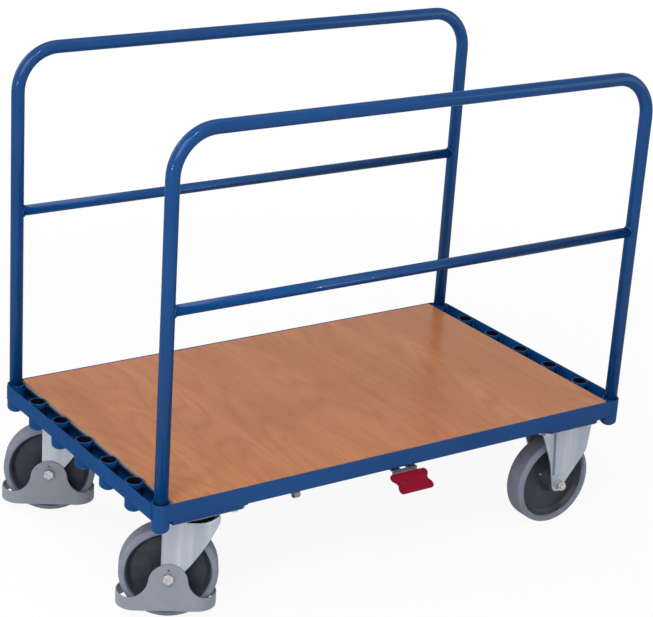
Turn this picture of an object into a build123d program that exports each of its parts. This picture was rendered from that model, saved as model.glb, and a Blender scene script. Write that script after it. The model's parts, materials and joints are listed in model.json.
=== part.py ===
from build123d import *
import os
from math import cos, hypot, radians, sin, sqrt

# Platform trolley with two lift-out tube hoops. Millimetres, +Z up, +X along the deck towards the
# fixed castors, the pedal side faces -Y. Pieces are built about the middle of the deck and moved at
# the end, so that the origin is on the floor under the middle of the whole outline.

# Deck frame
deck_length = 1000.0
deck_width = 600.0
rail_height = 35.0
rail_thickness = 3.0
rail_ledge = 35.0
rail_bend_radius = 4.0
rail_end_setback = 7.0
channel_flange = 20.0
channel_thickness = 3.0
channel_lip = 4.0
cross_channel_count = 3
board_thickness = 12.0
board_end_clearance = 0.5
board_side_gap = 1.0
board_corner_cut = 3.0
end_bar_thickness = 3.0
end_bar_height = 30.0

# Hoops and the sockets that hold them
hoop_tube_diameter = 25.0
hoop_tube_wall = 2.0
hoop_height = 675.0
hoop_bend_radius = 80.0
mid_rail_diameter = 20.0
mid_rail_wall = 2.0
mid_rail_height = 352.0
socket_clearance = 1.4
socket_wall = 2.6
socket_length = 55.0
socket_lip_width = 5.0
socket_lip_height = 3.0
socket_foot_radius = 7.0
sockets_per_end = 7

# Castor places and plates
castor_height = 224.0
castor_end_inset = 85.0
castor_side_inset = 63.0
mounting_plate_length = 144.0
mounting_plate_width = 125.0
mounting_plate_thickness = 8.0
mounting_plate_corner_cut = 14.0
mounting_plate_end_gap = 1.0
castor_plate_length = 148.0
castor_plate_width = 110.0
castor_plate_thickness = 5.5
castor_plate_corner_radius = 12.0
bolt_spacing_x = 105.0
bolt_spacing_y = 88.0
bolt_diameter = 8.0
bolt_hole_clearance = 0.5
bolt_head_across = 13.0
bolt_head_height = 5.3
bolt_nut_height = 6.5
bolt_end = 3.0

# Wheels
wheel_diameter = 180.0
tyre_width = 46.0
tyre_thickness = 13.0
tyre_shoulder_radius = 9.0
tyre_side_bevel = 3.0
hub_length = 60.0
hub_boss_diameter = 38.0
hub_rim_width = 32.0
hub_rim_thickness = 5.0
hub_web_thickness = 14.0
hub_rim_draft = 3.0
hub_web_corner = 4.0
axle_diameter = 12.0
axle_fit = 0.05
sleeve_wall = 2.0
bearing_fit = 0.05
bearing_wall = 4.0
axle_nut_across = 18.0
axle_head_height = 10.0
axle_nut_height = 12.0
axle_end = 5.0

# Forks of the castors
fork_sheet = 4.0
hub_end_gap = 1.0
fork_axle_radius = 15.0
swivel_trail = 45.0
swivel_rest_turn = -30.0
crown_gap = 20.5
crown_back = 40.0
fork_back_setback = 14.0
fork_back_drop = 10.0
fork_front_reach = 41.0
fork_front_drop = 4.0
fork_front_curve = 10.0
fork_front_radius = 3.0
fork_nose_reach = 44.0
fork_nose_rise = 8.0
fork_tip_start = 7.0
fork_tip_reach = 42.0
fork_tip_rise = 17.0
fork_tip_hollow = 5.0
front_web_drop = 33.0
kingpin_diameter = 14.0
kingpin_fit = 0.05
kingpin_head_diameter = 26.0
kingpin_head_height = 6.0
swivel_bearing_bore = 36.0
swivel_bearing_diameter = 66.0
swivel_bearing_bevel = 3.0
swivel_bearing_gap = 0.4
dust_rim_gap = 1.5
dust_rim_wall = 2.5
dust_rim_height = 4.0
flank_left_reach = 57.0
flank_left_shoulder = 26.0
flank_left_drop = 78.0
flank_right_reach = 74.0
flank_right_shoulder = 66.0
flank_right_drop = 66.5
flank_axle_radius = 16.0
flank_curve_radius = 30.0
flank_rib_left = 26.0
flank_rib_right = 52.0
flank_rib_shoulder = 43.0
flank_rib_foot_left = 18.0
flank_rib_foot_right = 10.0
flank_rib_height = 4.0
flank_rib_taper = 35.0
flank_rib_rise = 22.0
flank_rib_drop = 7.0

# Foot guards round the swivel wheels
guard_wall = 3.0
guard_half_length = 91.0
guard_setback = 3.0
guard_corner_radius = 36.0
guard_bottom = 21.0
guard_skirt_top = 46.0
guard_bell_radius = 36.0
guard_bell_drop = 11.0
guard_flare_radius = 40.0

# Brake pedal
pivot_setback = 63.0
pivot_drop = 20.0
pivot_diameter = 8.0
pivot_fit = 0.08
pivot_head_diameter = 12.0
bracket_sheet = 3.0
bracket_depth = 24.0
bracket_ear_height = 28.0
bracket_setback = 13.0
bracket_side_gap = 4.0
lever_width = 56.0
lever_sheet = 3.0
lever_drop = 6.0
lever_step = 5.0
lever_bend_setback = 4.0
lever_slope = 28.0
lever_slope_length = 42.0
lever_tail = 8.0
lever_flange_radius = 8.0
lever_window_width = 15.0
lever_window_length = 34.0
lever_window_setback = 3.0
tread_start = 5.0
tread_length = 45.0
tread_shoulder = 12.0
tread_thickness = 7.0
tread_far_width = 83.0
tread_near_width = 76.0
tread_waist_width = 66.0
tread_corner_radius = 7.0
cable_clip_x = -240.0
cable_clip_width = 12.0
cable_clip_sheet = 1.5
cable_clip_radius = 6.0

# Levels and places worked out from the sizes above
wheel_radius = wheel_diameter / 2
frame_bottom = castor_height + mounting_plate_thickness
deck_top = frame_bottom + rail_height
board_bottom = deck_top - board_thickness
rail_outer_y = deck_width / 2 + rail_thickness
socket_bore = hoop_tube_diameter + 2 * socket_clearance
socket_diameter = socket_bore + 2 * socket_wall
socket_x = deck_length / 2 + socket_diameter / 2
socket_y = rail_outer_y - socket_diameter / 2
socket_pitch = 2 * socket_y / (sockets_per_end - 1)
hoop_foot = deck_top - socket_length + socket_lip_height
hoop_axis_top = deck_top + hoop_height - hoop_tube_diameter / 2
castor_x = deck_length / 2 - castor_end_inset
castor_y = deck_width / 2 - castor_side_inset
castor_plate_bottom = castor_height - castor_plate_thickness
crown_top = castor_plate_bottom - crown_gap
sleeve_diameter = axle_diameter + 2 * axle_fit + 2 * sleeve_wall
bearing_bore = sleeve_diameter + 2 * bearing_fit
bearing_diameter = bearing_bore + 2 * bearing_wall
fork_inner = hub_length / 2 + hub_end_gap
fork_outer = fork_inner + fork_sheet
guard_outer = fork_outer + guard_wall
pivot_y = pivot_setback - rail_outer_y
pivot_z = frame_bottom - pivot_drop
lever_top = frame_bottom - lever_drop


def box(x0, x1, y0, y1, z0, z1):
    """Block between two corners."""
    centre = Pos((x0 + x1) / 2, (y0 + y1) / 2, (z0 + z1) / 2)
    return centre * Box(x1 - x0, y1 - y0, z1 - z0)


def rod(radius, start, end):
    """Round bar between two points."""
    line = Vector(*end) - Vector(*start)
    return extrude(Plane(Vector(*start), z_dir=line) * Circle(radius), amount=line.length)


def hexagon(across, start, direction, length):
    """Hexagonal bar from a point along a direction."""
    outline = RegularPolygon(across / 2, 6, major_radius=False)
    return extrude(Plane(Vector(*start), z_dir=Vector(*direction)) * outline, amount=length)


def turned(points, axis):
    """Solid turned from a closed outline of (radius, height) points about Y or Z."""
    face = make_face(Polyline(*points, close=True))
    if axis == "Y":
        return revolve(face, Axis.Y)
    return revolve(Plane.XZ * face, Axis.Z)


# Deck frame
def side_rail(side):
    """Folded edge profile along a long side: upright face with an inward ledge at its foot."""
    inner = deck_width / 2
    profile = Polyline(
        (rail_outer_y, frame_bottom),
        (rail_outer_y, deck_top),
        (inner, deck_top),
        (inner, frame_bottom + rail_thickness),
        (rail_outer_y - rail_ledge, frame_bottom + rail_thickness),
        (rail_outer_y - rail_ledge, frame_bottom),
        close=True,
    )
    rail = extrude(Plane.YZ * make_face(profile), amount=socket_x - rail_end_setback, both=True)
    bend = rail.edges().filter_by(Axis.X).sort_by(lambda e: e.center().Y - e.center().Z)[-1]
    rail = fillet(bend, rail_bend_radius)
    for x in (-castor_x, castor_x):
        rail -= bolt_holes(x, castor_y, frame_bottom, frame_bottom + rail_thickness)
    for x in (-socket_x, socket_x):
        rail -= rod(socket_diameter / 2, (x, socket_y, frame_bottom - 1), (x, socket_y, deck_top + 1))
    for end in (-1, 1):
        x0, x1 = sorted((end * deck_length / 2, end * socket_x))
        rail -= box(x0, x1, 0, deck_width / 2, frame_bottom, deck_top)
    return rail if side > 0 else mirror(rail, Plane.XZ)


def channel(x_web, opening, lip):
    """Folded channel across the frame, flanges towards opening, ends notched over the ledges.

    A lip above the upper flange's edge keeps the board's end in place.
    """
    half = deck_width / 2
    short = rail_outer_y - rail_ledge
    ledge_top = frame_bottom + rail_thickness
    body = box(0, channel_thickness, -short, short, frame_bottom, board_bottom)
    body += box(0, channel_flange, -short, short, frame_bottom, frame_bottom + channel_thickness)
    body += box(0, channel_flange, -half, half, board_bottom - channel_thickness, board_bottom)
    body += box(0, channel_thickness, -half, half, ledge_top, board_bottom)
    if lip > 0:
        inner = channel_flange - channel_thickness
        body += box(inner, channel_flange, -half, half, board_bottom, board_bottom + lip)
    if opening < 0:
        body = mirror(body, Plane.YZ)
    return Pos(x_web, 0, 0) * body


def end_bar(side):
    """Upright flat bar outside a row of sockets."""
    inner = socket_x + socket_diameter / 2
    bottom = deck_top - end_bar_height
    bar = box(inner, inner + end_bar_thickness, -socket_y, socket_y, bottom, deck_top)
    return bar if side > 0 else mirror(bar, Plane.YZ)


def socket():
    """Short upright tube with a rounded foot and an inward lip, on which a hoop leg stands."""
    outer = socket_diameter / 2
    inner = socket_bore / 2
    tube = turned([
        (outer, deck_top - socket_length),
        (outer, deck_top),
        (inner, deck_top),
        (inner, hoop_foot),
        (inner - socket_lip_width, hoop_foot),
        (inner - socket_lip_width, deck_top - socket_length),
    ], "Z")
    foot = tube.edges().filter_by(GeomType.CIRCLE).sort_by(lambda e: e.radius - e.center().Z)[-1]
    return fillet(foot, socket_foot_radius)


def socket_rows(xs, indexes):
    """Sockets at the given ends and places along the row."""
    one = socket()
    return [Pos(x, -socket_y + i * socket_pitch, 0) * one for x in xs for i in indexes]


def deck_board():
    """Laminated board laid flush between the rails, its corners just broken."""
    half_x = deck_length / 2 - channel_thickness - board_end_clearance
    half_y = deck_width / 2 - board_side_gap
    board = box(-half_x, half_x, -half_y, half_y, board_bottom, deck_top)
    return chamfer(board.edges().filter_by(Axis.Z), board_corner_cut)


# Hoops
def hoop_tube(side):
    """Bent tube: two legs and a top rail in one piece, open at its feet."""
    path = FilletPolyline(
        (-socket_x, side * socket_y, hoop_foot),
        (-socket_x, side * socket_y, hoop_axis_top),
        (socket_x, side * socket_y, hoop_axis_top),
        (socket_x, side * socket_y, hoop_foot),
        radius=hoop_bend_radius,
    )
    start = Plane((-socket_x, side * socket_y, hoop_foot))
    outer = sweep(start * Circle(hoop_tube_diameter / 2), path)
    inner = sweep(start * Circle(hoop_tube_diameter / 2 - hoop_tube_wall), path)
    return outer - inner


def hoop_mid_rail(side):
    """Thinner cross tube between the legs, its ends cut to fit round them."""
    y = side * socket_y
    z = deck_top + mid_rail_height
    rail = rod(mid_rail_diameter / 2, (-socket_x, y, z), (socket_x, y, z))
    rail -= rod(mid_rail_diameter / 2 - mid_rail_wall, (-socket_x, y, z), (socket_x, y, z))
    for x in (-socket_x, socket_x):
        rail -= rod(hoop_tube_diameter / 2, (x, y, z - mid_rail_diameter), (x, y, z + mid_rail_diameter))
    return rail


# Castor plates and their bolts
def castor_places():
    """Centres of the four castor plates."""
    return [(x, y) for x in (-castor_x, castor_x) for y in (-castor_y, castor_y)]


def bolt_places(x, y):
    """Centres of the four bolts of the castor at x, y."""
    half_x = bolt_spacing_x / 2
    half_y = bolt_spacing_y / 2
    return [(x + a, y + b) for a in (-half_x, half_x) for b in (-half_y, half_y)]


def bolt_holes(x, y, low, high):
    """Cutters for the bolt holes of one castor."""
    radius = bolt_diameter / 2 + bolt_hole_clearance
    return [rod(radius, (a, b, low - 1), (a, b, high + 1)) for a, b in bolt_places(x, y)]


def mounting_plate(x, y):
    """Painted plate with clipped corners; on the swivel side it runs on to the end of the deck."""
    outer = deck_width / 2 if y > 0 else -deck_width / 2
    inner = outer - mounting_plate_width if y > 0 else outer + mounting_plate_width
    half = mounting_plate_length / 2
    start = mounting_plate_end_gap - deck_length / 2 if x < 0 else x - half
    plate = box(start, x + half, min(outer, inner), max(outer, inner), castor_height, frame_bottom)
    corners = plate.edges().filter_by(Axis.Z).sort_by(lambda e: e.center().X - abs(e.center().Y))
    plate = chamfer(corners[1:] if x < 0 else corners, mounting_plate_corner_cut)
    return plate - bolt_holes(x, y, castor_height, frame_bottom)


def castor_plate():
    """Zinc plate at the top of a castor, centred on the castor's own axis."""
    half_x = castor_plate_length / 2
    half_y = castor_plate_width / 2
    plate = box(-half_x, half_x, -half_y, half_y, castor_plate_bottom, castor_height)
    plate = fillet(plate.edges().filter_by(Axis.Z), castor_plate_corner_radius)
    return plate - bolt_holes(0, 0, castor_plate_bottom, castor_height)


def castor_bolt(x, y):
    """Hexagon bolt from below through the plates, and through the ledge in the outer row."""
    head = hexagon(bolt_head_across, (x, y, castor_plate_bottom), (0, 0, -1), bolt_head_height)
    top = frame_bottom + rail_thickness + bolt_nut_height + bolt_end
    return head + rod(bolt_diameter / 2, (x, y, castor_plate_bottom), (x, y, top))


def castor_nut(x, y):
    """Nut on the rail's ledge in the outer row, on the mounting plate in the inner row."""
    seat = frame_bottom + rail_thickness if abs(y) > castor_y else frame_bottom
    nut = hexagon(bolt_head_across, (x, y, seat), (0, 0, 1), bolt_nut_height)
    return nut - rod(bolt_diameter / 2, (x, y, seat), (x, y, seat + bolt_nut_height))


# Wheels, built round the Y axis through the origin
def tyre():
    """Grey tread ring with rounded shoulders."""
    inner = wheel_radius - tyre_thickness
    seat = hub_rim_width / 2
    side = [(inner, seat), (inner + tyre_side_bevel, tyre_width / 2), (wheel_radius, tyre_width / 2)]
    ring = turned(side + [(r, -w) for r, w in reversed(side)], "Y")
    rims = ring.edges().filter_by(GeomType.CIRCLE).sort_by(lambda e: e.radius)[-2:]
    return fillet(rims, tyre_shoulder_radius)


def hub():
    """Moulded wheel body: boss, recessed web and rim."""
    outer = wheel_radius - tyre_thickness
    rim = outer - hub_rim_thickness
    boss = hub_boss_diameter / 2
    bore = bearing_diameter / 2
    web = hub_web_thickness / 2
    half = [
        (bore, hub_length / 2),
        (boss, hub_length / 2),
        (boss + (hub_length / 2 - web) / 4, web),
        (rim - hub_web_corner, web),
        (rim, web + hub_web_corner),
        (rim + hub_rim_draft, hub_rim_width / 2),
        (outer, hub_rim_width / 2),
    ]
    return turned(half + [(r, -w) for r, w in reversed(half)], "Y")


def roller_bearing():
    """Roller cage pressed into the hub."""
    half = hub_length / 2
    cage = rod(bearing_diameter / 2, (0, -half, 0), (0, half, 0))
    return cage - rod(bearing_bore / 2, (0, -half, 0), (0, half, 0))


def axle_sleeve():
    """Spacer tube between the fork legs, on which the bearing runs."""
    sleeve = rod(sleeve_diameter / 2, (0, -fork_inner, 0), (0, fork_inner, 0))
    return sleeve - rod(axle_diameter / 2 + axle_fit, (0, -fork_inner, 0), (0, fork_inner, 0))


def axle_bolt(grip, head_side):
    """Axle bolt through legs that are grip wide on each side of the wheel."""
    s = head_side
    head = hexagon(axle_nut_across, (0, s * grip, 0), (0, s, 0), axle_head_height)
    return head + rod(axle_diameter / 2, (0, s * grip, 0), (0, -s * (grip + axle_nut_height + axle_end), 0))


def axle_nut(grip, head_side):
    """Nut on the end of the axle bolt."""
    s = -head_side
    nut = hexagon(axle_nut_across, (0, s * grip, 0), (0, s, 0), axle_nut_height)
    return nut - rod(axle_diameter / 2, (0, s * grip, 0), (0, s * (grip + axle_nut_height), 0))


# Fixed castor, built with its plate's centre on the Z axis
def fixed_bracket():
    """Plate with two tapered flanks, each with a raised rib."""
    top = castor_plate_bottom
    outline = make_face(Polyline(
        (-flank_left_reach, top),
        (flank_right_reach, top),
        (flank_right_shoulder, top - flank_right_drop),
        (flank_axle_radius, wheel_radius),
        (-flank_axle_radius, wheel_radius),
        (-flank_left_shoulder, top - flank_left_drop),
        close=True,
    ))
    shoulders = outline.vertices().filter_by(lambda v: wheel_radius + 1 < v.Y < top - 1)
    outline = fillet(shoulders, flank_curve_radius)
    outline += Pos(0, wheel_radius) * Circle(flank_axle_radius)
    outline -= Pos(0, wheel_radius) * Circle(axle_diameter / 2 + axle_fit)
    flank = extrude(Plane.XZ.offset(fork_inner) * outline, amount=fork_sheet)
    rib_low = wheel_radius + flank_rib_rise
    rib_high = top - flank_rib_drop
    rib_outline = make_face(Polyline(
        (-flank_rib_left, rib_high),
        (flank_rib_right, rib_high),
        (flank_rib_shoulder, top - flank_right_drop),
        (flank_rib_foot_right, rib_low),
        (-flank_rib_foot_left, rib_low),
        close=True,
    ))
    rib_plane = Plane.XZ.offset(fork_outer)
    flank += extrude(rib_plane * rib_outline, amount=flank_rib_height, taper=flank_rib_taper)
    return castor_plate() + flank + mirror(flank, Plane.XZ)


# Swivel castor, built with its swivel axis on the Z axis and the wheel trailing towards -X
def swivel_plate():
    """Top plate with a dust rim round the swivel bearing and a hole for the king pin."""
    inner = swivel_bearing_diameter / 2 + dust_rim_gap
    outer = inner + dust_rim_wall
    rim = turned([
        (inner, castor_plate_bottom),
        (outer, castor_plate_bottom),
        (outer, castor_plate_bottom - dust_rim_height),
        (inner, castor_plate_bottom - dust_rim_height),
    ], "Z")
    hole = rod(kingpin_diameter / 2, (0, 0, castor_plate_bottom - 1), (0, 0, castor_height + 1))
    return castor_plate() + rim - hole


def kingpin():
    """Riveted pin that carries the fork under the plate."""
    low = crown_top - fork_sheet - swivel_bearing_gap
    head = rod(kingpin_head_diameter / 2, (0, 0, low - kingpin_head_height), (0, 0, low))
    return head + rod(kingpin_diameter / 2, (0, 0, low), (0, 0, castor_height))


def ball_ring():
    """Sealed ball ring of the swivel, fixed under the plate, on which the fork's crown turns."""
    inner = swivel_bearing_bore / 2
    outer = swivel_bearing_diameter / 2
    low = crown_top + swivel_bearing_gap
    return turned([
        (inner, low),
        (outer - swivel_bearing_bevel, low),
        (outer, low + swivel_bearing_bevel),
        (outer, castor_plate_bottom),
        (inner, castor_plate_bottom),
    ], "Z")


def fork_outline():
    """Side face of a fork leg: straight back, hollow top that rises to a tip, curved front to the axle."""
    front = (fork_front_reach, crown_top - fork_front_drop)
    reach = front[0] + swivel_trail
    rise = front[1] - wheel_radius
    span = hypot(reach, rise)
    slant = sqrt(span ** 2 - fork_axle_radius ** 2)
    along = (reach * slant - rise * fork_axle_radius) / span ** 2
    across = (rise * slant + reach * fork_axle_radius) / span ** 2
    normal = Vector(across, -along).rotate(Axis.Z, -fork_front_curve)
    foot = Vector(-swivel_trail, wheel_radius) + normal * fork_axle_radius
    back = -swivel_trail - fork_back_setback
    start = (fork_tip_start, crown_top)
    tip = (fork_tip_reach, crown_top + fork_tip_rise)
    hollow = ((start[0] + tip[0]) / 2, (start[1] + tip[1]) / 2 - fork_tip_hollow)
    rear = Polyline(
        foot,
        (-swivel_trail, wheel_radius),
        (back, wheel_radius),
        (back, crown_top - fork_back_drop),
        (-crown_back, crown_top),
        start,
    )
    nose = Polyline(tip, (fork_nose_reach, crown_top + fork_nose_rise), front)
    curve = TangentArc(foot, front, tangent=(-normal.Y, normal.X))
    return make_face(rear + ThreePointArc(start, hollow, tip) + nose + curve)


def swivel_fork():
    """Pressed fork: two legs joined by a round-fronted crown and by a web behind their front edges."""
    outline = fork_outline()
    axle = Pos(-swivel_trail, wheel_radius)
    leg = outline + axle * Circle(fork_axle_radius) - axle * Circle(axle_diameter / 2 + axle_fit)
    side = extrude(Plane.XZ.offset(fork_inner) * leg, amount=fork_sheet)
    outer_face = side.faces().sort_by(Axis.Y)[0]
    front = outer_face.edges().sort_by(lambda e: e.center().X + e.center().Z / 2)[-3:]
    side = fillet(front, fork_front_radius)
    web_low = crown_top - front_web_drop
    web_high = crown_top + fork_tip_rise
    band = outline - Pos(-fork_sheet, 0) * outline
    band &= Pos(0, web_low) * Rectangle(fork_nose_reach, web_high - web_low, align=(Align.MIN, Align.MIN))
    web = extrude(Plane.XZ * band, amount=fork_inner, both=True)
    plan = Circle(fork_outer) + Rectangle(crown_back, 2 * fork_outer, align=(Align.MAX, Align.CENTER))
    crown = extrude(Pos(0, 0, crown_top - fork_sheet) * plan, amount=fork_sheet)
    hole = rod(kingpin_diameter / 2 + kingpin_fit, (0, 0, web_low), (0, 0, crown_top + 1))
    return crown + web + side + mirror(side, Plane.XZ) - hole


def foot_guard():
    """Moulded guard: a skirt round the wheel's foot that rises to a bell over each end of the axle."""
    bell_z = wheel_radius - guard_bell_drop
    flare_z = guard_skirt_top + guard_flare_radius
    reach = guard_bell_radius + guard_flare_radius
    flare_x = sqrt(reach ** 2 - (flare_z - bell_z) ** 2)
    share = guard_bell_radius / reach
    join = (flare_x * share, bell_z + (flare_z - bell_z) * share)
    far_end = guard_half_length + guard_setback
    lean = radians(45)
    hollow = (flare_x - guard_flare_radius * cos(lean), flare_z - guard_flare_radius * sin(lean))
    top = (0, bell_z + guard_bell_radius)
    edges = Curve() + [
        Line((0, guard_bottom), (far_end, guard_bottom)),
        Line((far_end, guard_bottom), (far_end, guard_skirt_top)),
        Line((far_end, guard_skirt_top), (flare_x, guard_skirt_top)),
        ThreePointArc((flare_x, guard_skirt_top), hollow, join),
        RadiusArc(join, top, -guard_bell_radius),
        Line(top, (0, guard_bottom)),
    ]
    half = extrude(Plane.XZ * make_face(edges), amount=guard_outer, both=True)
    shape = half + mirror(half, Plane.YZ)
    height = bell_z + guard_bell_radius - guard_bottom
    outer = RectangleRounded(2 * guard_half_length, 2 * guard_outer, guard_corner_radius)
    inner = RectangleRounded(
        2 * (guard_half_length - guard_wall), 2 * fork_outer, guard_corner_radius - guard_wall,
    )
    ring = extrude(Pos(-guard_setback, 0, guard_bottom) * (outer - inner), amount=height)
    guard = shape & ring
    hole = axle_diameter / 2 + axle_fit
    guard -= rod(hole, (0, -guard_outer, wheel_radius), (0, guard_outer, wheel_radius))
    return Pos(-swivel_trail, 0, 0) * guard


# Brake pedal
def pedal_bracket():
    """Folded bracket under the front rail with two ears for the pivot."""
    half = lever_width / 2 + bracket_side_gap
    outer = half + bracket_sheet
    back = pivot_y + bracket_depth / 2
    front = bracket_setback - rail_outer_y
    base = box(-outer, outer, front, back, frame_bottom - bracket_sheet, frame_bottom)
    body = base
    for side in (-1, 1):
        x0, x1 = sorted((side * half, side * outer))
        ear = box(x0, x1, pivot_y - bracket_depth / 2, back, frame_bottom - bracket_ear_height, frame_bottom)
        foot = ear.edges().filter_by(Axis.X).sort_by(Axis.Z)[:2]
        body += fillet(foot, bracket_depth / 3)
    return body - rod(pivot_diameter / 2, (-outer - 1, pivot_y, pivot_z), (outer + 1, pivot_y, pivot_z))


def pedal_pin():
    """Pivot pin with a head at each end, held in the bracket's ears."""
    half = lever_width / 2 + bracket_side_gap + bracket_sheet
    pin = rod(pivot_diameter / 2, (-half, pivot_y, pivot_z), (half, pivot_y, pivot_z))
    for side in (-1, 1):
        inside = side * half
        outside = side * (half + bracket_sheet)
        pin += rod(pivot_head_diameter / 2, (inside, pivot_y, pivot_z), (outside, pivot_y, pivot_z))
    return pin


def slope_plane():
    """Plane on the lever's sloping upper face: X along the trolley, Y outwards down the slope."""
    bend_y = lever_bend_setback - rail_outer_y
    tilt = radians(lever_slope)
    return Plane(
        origin=(0, bend_y, lever_top - lever_step), x_dir=(-1, 0, 0), z_dir=(0, -sin(tilt), cos(tilt)),
    )


def pedal_lever():
    """Steel lever: level over its pivot flanges, stepped and bent down to the tread, with a window."""
    half = lever_width / 2
    bend_y = lever_bend_setback - rail_outer_y
    tail_y = pivot_y + lever_tail
    level = box(-half, half, bend_y, tail_y, lever_top - lever_sheet, lever_top)
    step = box(-half, half, bend_y, bend_y + lever_sheet, lever_top - lever_step - lever_sheet, lever_top)
    arm = Rectangle(lever_width, lever_slope_length, align=(Align.CENTER, Align.MIN))
    body = level + step + extrude(slope_plane() * arm, amount=-lever_sheet)
    flange_front = pivot_y - lever_flange_radius
    flange_back = pivot_y + lever_flange_radius
    for side in (-1, 1):
        x0, x1 = sorted((side * half, side * (half - lever_sheet)))
        flange = box(x0, x1, flange_front, flange_back, pivot_z, lever_top)
        flange += rod(lever_flange_radius, (x0, pivot_y, pivot_z), (x1, pivot_y, pivot_z))
        body += flange & box(x0, x1, flange_front, flange_back, pivot_z - lever_flange_radius, lever_top)
    body -= rod(pivot_diameter / 2 + pivot_fit, (-half - 1, pivot_y, pivot_z), (half + 1, pivot_y, pivot_z))
    window = bend_y + lever_window_setback
    body -= box(
        -lever_window_width / 2, lever_window_width / 2, window, window + lever_window_length,
        lever_top - 2 * lever_sheet, lever_top + 1,
    )
    return body


def pedal_tread():
    """Moulded tread on the lever's slope, with waisted sides and round corners."""
    far = tread_start
    near = tread_start + tread_length
    right = [
        (tread_far_width / 2, far),
        (tread_far_width / 2, far + tread_shoulder),
        (tread_waist_width / 2, far + tread_length / 2),
        (tread_near_width / 2, near - tread_shoulder),
        (tread_near_width / 2, near),
    ]
    left = [(-x, y) for x, y in reversed(right)]
    outline = make_face(Polyline(*(right + left), close=True))
    outline = fillet(outline.vertices(), tread_corner_radius)
    tread = extrude(slope_plane() * outline, amount=tread_thickness)
    rim = tread.faces().sort_by(lambda f: f.center().Z - f.center().Y)[-1].edges()
    return chamfer(rim, tread_thickness / 4)


def cable_clip():
    """Bent strip under the front rail's ledge that guides the brake's cable."""
    loop_z = frame_bottom - cable_clip_radius - cable_clip_sheet
    loop_y = -deck_width / 2 + cable_clip_radius + cable_clip_sheet
    start = cable_clip_x - cable_clip_width / 2
    end = cable_clip_x + cable_clip_width / 2
    ring = rod(cable_clip_radius + cable_clip_sheet, (start, loop_y, loop_z), (end, loop_y, loop_z))
    return ring - rod(cable_clip_radius, (start, loop_y, loop_z), (end, loop_y, loop_z))


# The assembly: each entry is one node of one or more solids
corner = (0, sockets_per_end - 1)
free = range(1, sockets_per_end - 1)
nodes = {
    "side_rail_front": side_rail(-1),
    "side_rail_back": side_rail(1),
    "end_channel_left": channel(channel_flange - deck_length / 2, -1, channel_lip),
    "end_channel_right": channel(deck_length / 2 - channel_flange, 1, channel_lip),
    "cross_channels": [
        channel(deck_length * ((i + 1) / (cross_channel_count + 1) - 0.5), 1, 0)
        for i in range(cross_channel_count)
    ],
    "end_bar_left": end_bar(-1),
    "end_bar_right": end_bar(1),
    "corner_sockets": socket_rows((-socket_x, socket_x), corner),
    "hoop_sockets_left": socket_rows((-socket_x,), free),
    "hoop_sockets_right": socket_rows((socket_x,), free),
    "castor_mounting_plates": [mounting_plate(x, y) for x, y in castor_places()],
    "castor_bolts": [castor_bolt(a, b) for x, y in castor_places() for a, b in bolt_places(x, y)],
    "castor_nuts": [castor_nut(a, b) for x, y in castor_places() for a, b in bolt_places(x, y)],
    "deck_board": deck_board(),
    "pedal_bracket": pedal_bracket(),
    "pedal_pivot_pin": pedal_pin(),
    "brake_cable_clip": cable_clip(),
    "pedal_lever": pedal_lever(),
    "pedal_tread": pedal_tread(),
}
swivel_plates = []
kingpins = []
ball_rings = []
fixed_bolts = []
fixed_nuts = []
fixed_sleeves = []
for side, name in ((-1, "front"), (1, "back")):
    nodes["hoop_%s_tube" % name] = hoop_tube(side)
    nodes["hoop_%s_mid_rail" % name] = hoop_mid_rail(side)

    fixed = Pos(castor_x, side * castor_y, 0)
    fixed_axle = fixed * Pos(0, 0, wheel_radius)
    nodes["fixed_bracket_%s" % name] = fixed * fixed_bracket()
    nodes["fixed_hub_%s" % name] = fixed_axle * hub()
    nodes["fixed_tyre_%s" % name] = fixed_axle * tyre()
    nodes["fixed_bearing_%s" % name] = fixed_axle * roller_bearing()
    fixed_bolts.append(fixed_axle * axle_bolt(fork_outer, -side))
    fixed_nuts.append(fixed_axle * axle_nut(fork_outer, -side))
    fixed_sleeves.append(fixed_axle * axle_sleeve())

    plate = Pos(-castor_x, side * castor_y, 0)
    swivel = plate * Rot(0, 0, swivel_rest_turn)
    swivel_axle = swivel * Pos(-swivel_trail, 0, wheel_radius)
    swivel_plates.append(plate * swivel_plate())
    kingpins.append(plate * kingpin())
    ball_rings.append(plate * ball_ring())
    nodes["swivel_fork_%s" % name] = swivel * swivel_fork()
    nodes["foot_guard_%s" % name] = swivel * foot_guard()
    nodes["swivel_axle_bolt_%s" % name] = swivel_axle * axle_bolt(guard_outer, -1)
    nodes["swivel_axle_nut_%s" % name] = swivel_axle * axle_nut(guard_outer, -1)
    nodes["swivel_axle_sleeve_%s" % name] = swivel_axle * axle_sleeve()
    nodes["swivel_hub_%s" % name] = swivel_axle * hub()
    nodes["swivel_tyre_%s" % name] = swivel_axle * tyre()
    nodes["swivel_bearing_%s" % name] = swivel_axle * roller_bearing()
nodes["swivel_plates"] = swivel_plates
nodes["swivel_king_pins"] = kingpins
nodes["swivel_ball_rings"] = ball_rings
nodes["fixed_axle_bolts"] = fixed_bolts
nodes["fixed_axle_nuts"] = fixed_nuts
nodes["fixed_axle_sleeves"] = fixed_sleeves

# Everything is moved so that the origin is on the floor under the middle of the whole outline
assembly = {}
for name, shape in nodes.items():
    pieces = shape if isinstance(shape, list) else [shape]
    assembly[name] = [s for piece in pieces for s in piece.solids()]
outline = Compound([s for solids in assembly.values() for s in solids]).bounding_box()
centre = outline.center()
to_origin = Pos(-centre.X, -centre.Y, -outline.min.Z)

os.makedirs("parts", exist_ok=True)
for name, solids in assembly.items():
    moved = [to_origin * s for s in solids]
    export_step(Compound(moved), "parts/%s.step" % name)
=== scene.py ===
"""Hanger trolley: finishes, weld seams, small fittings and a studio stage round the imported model."""

import json
import math

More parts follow.
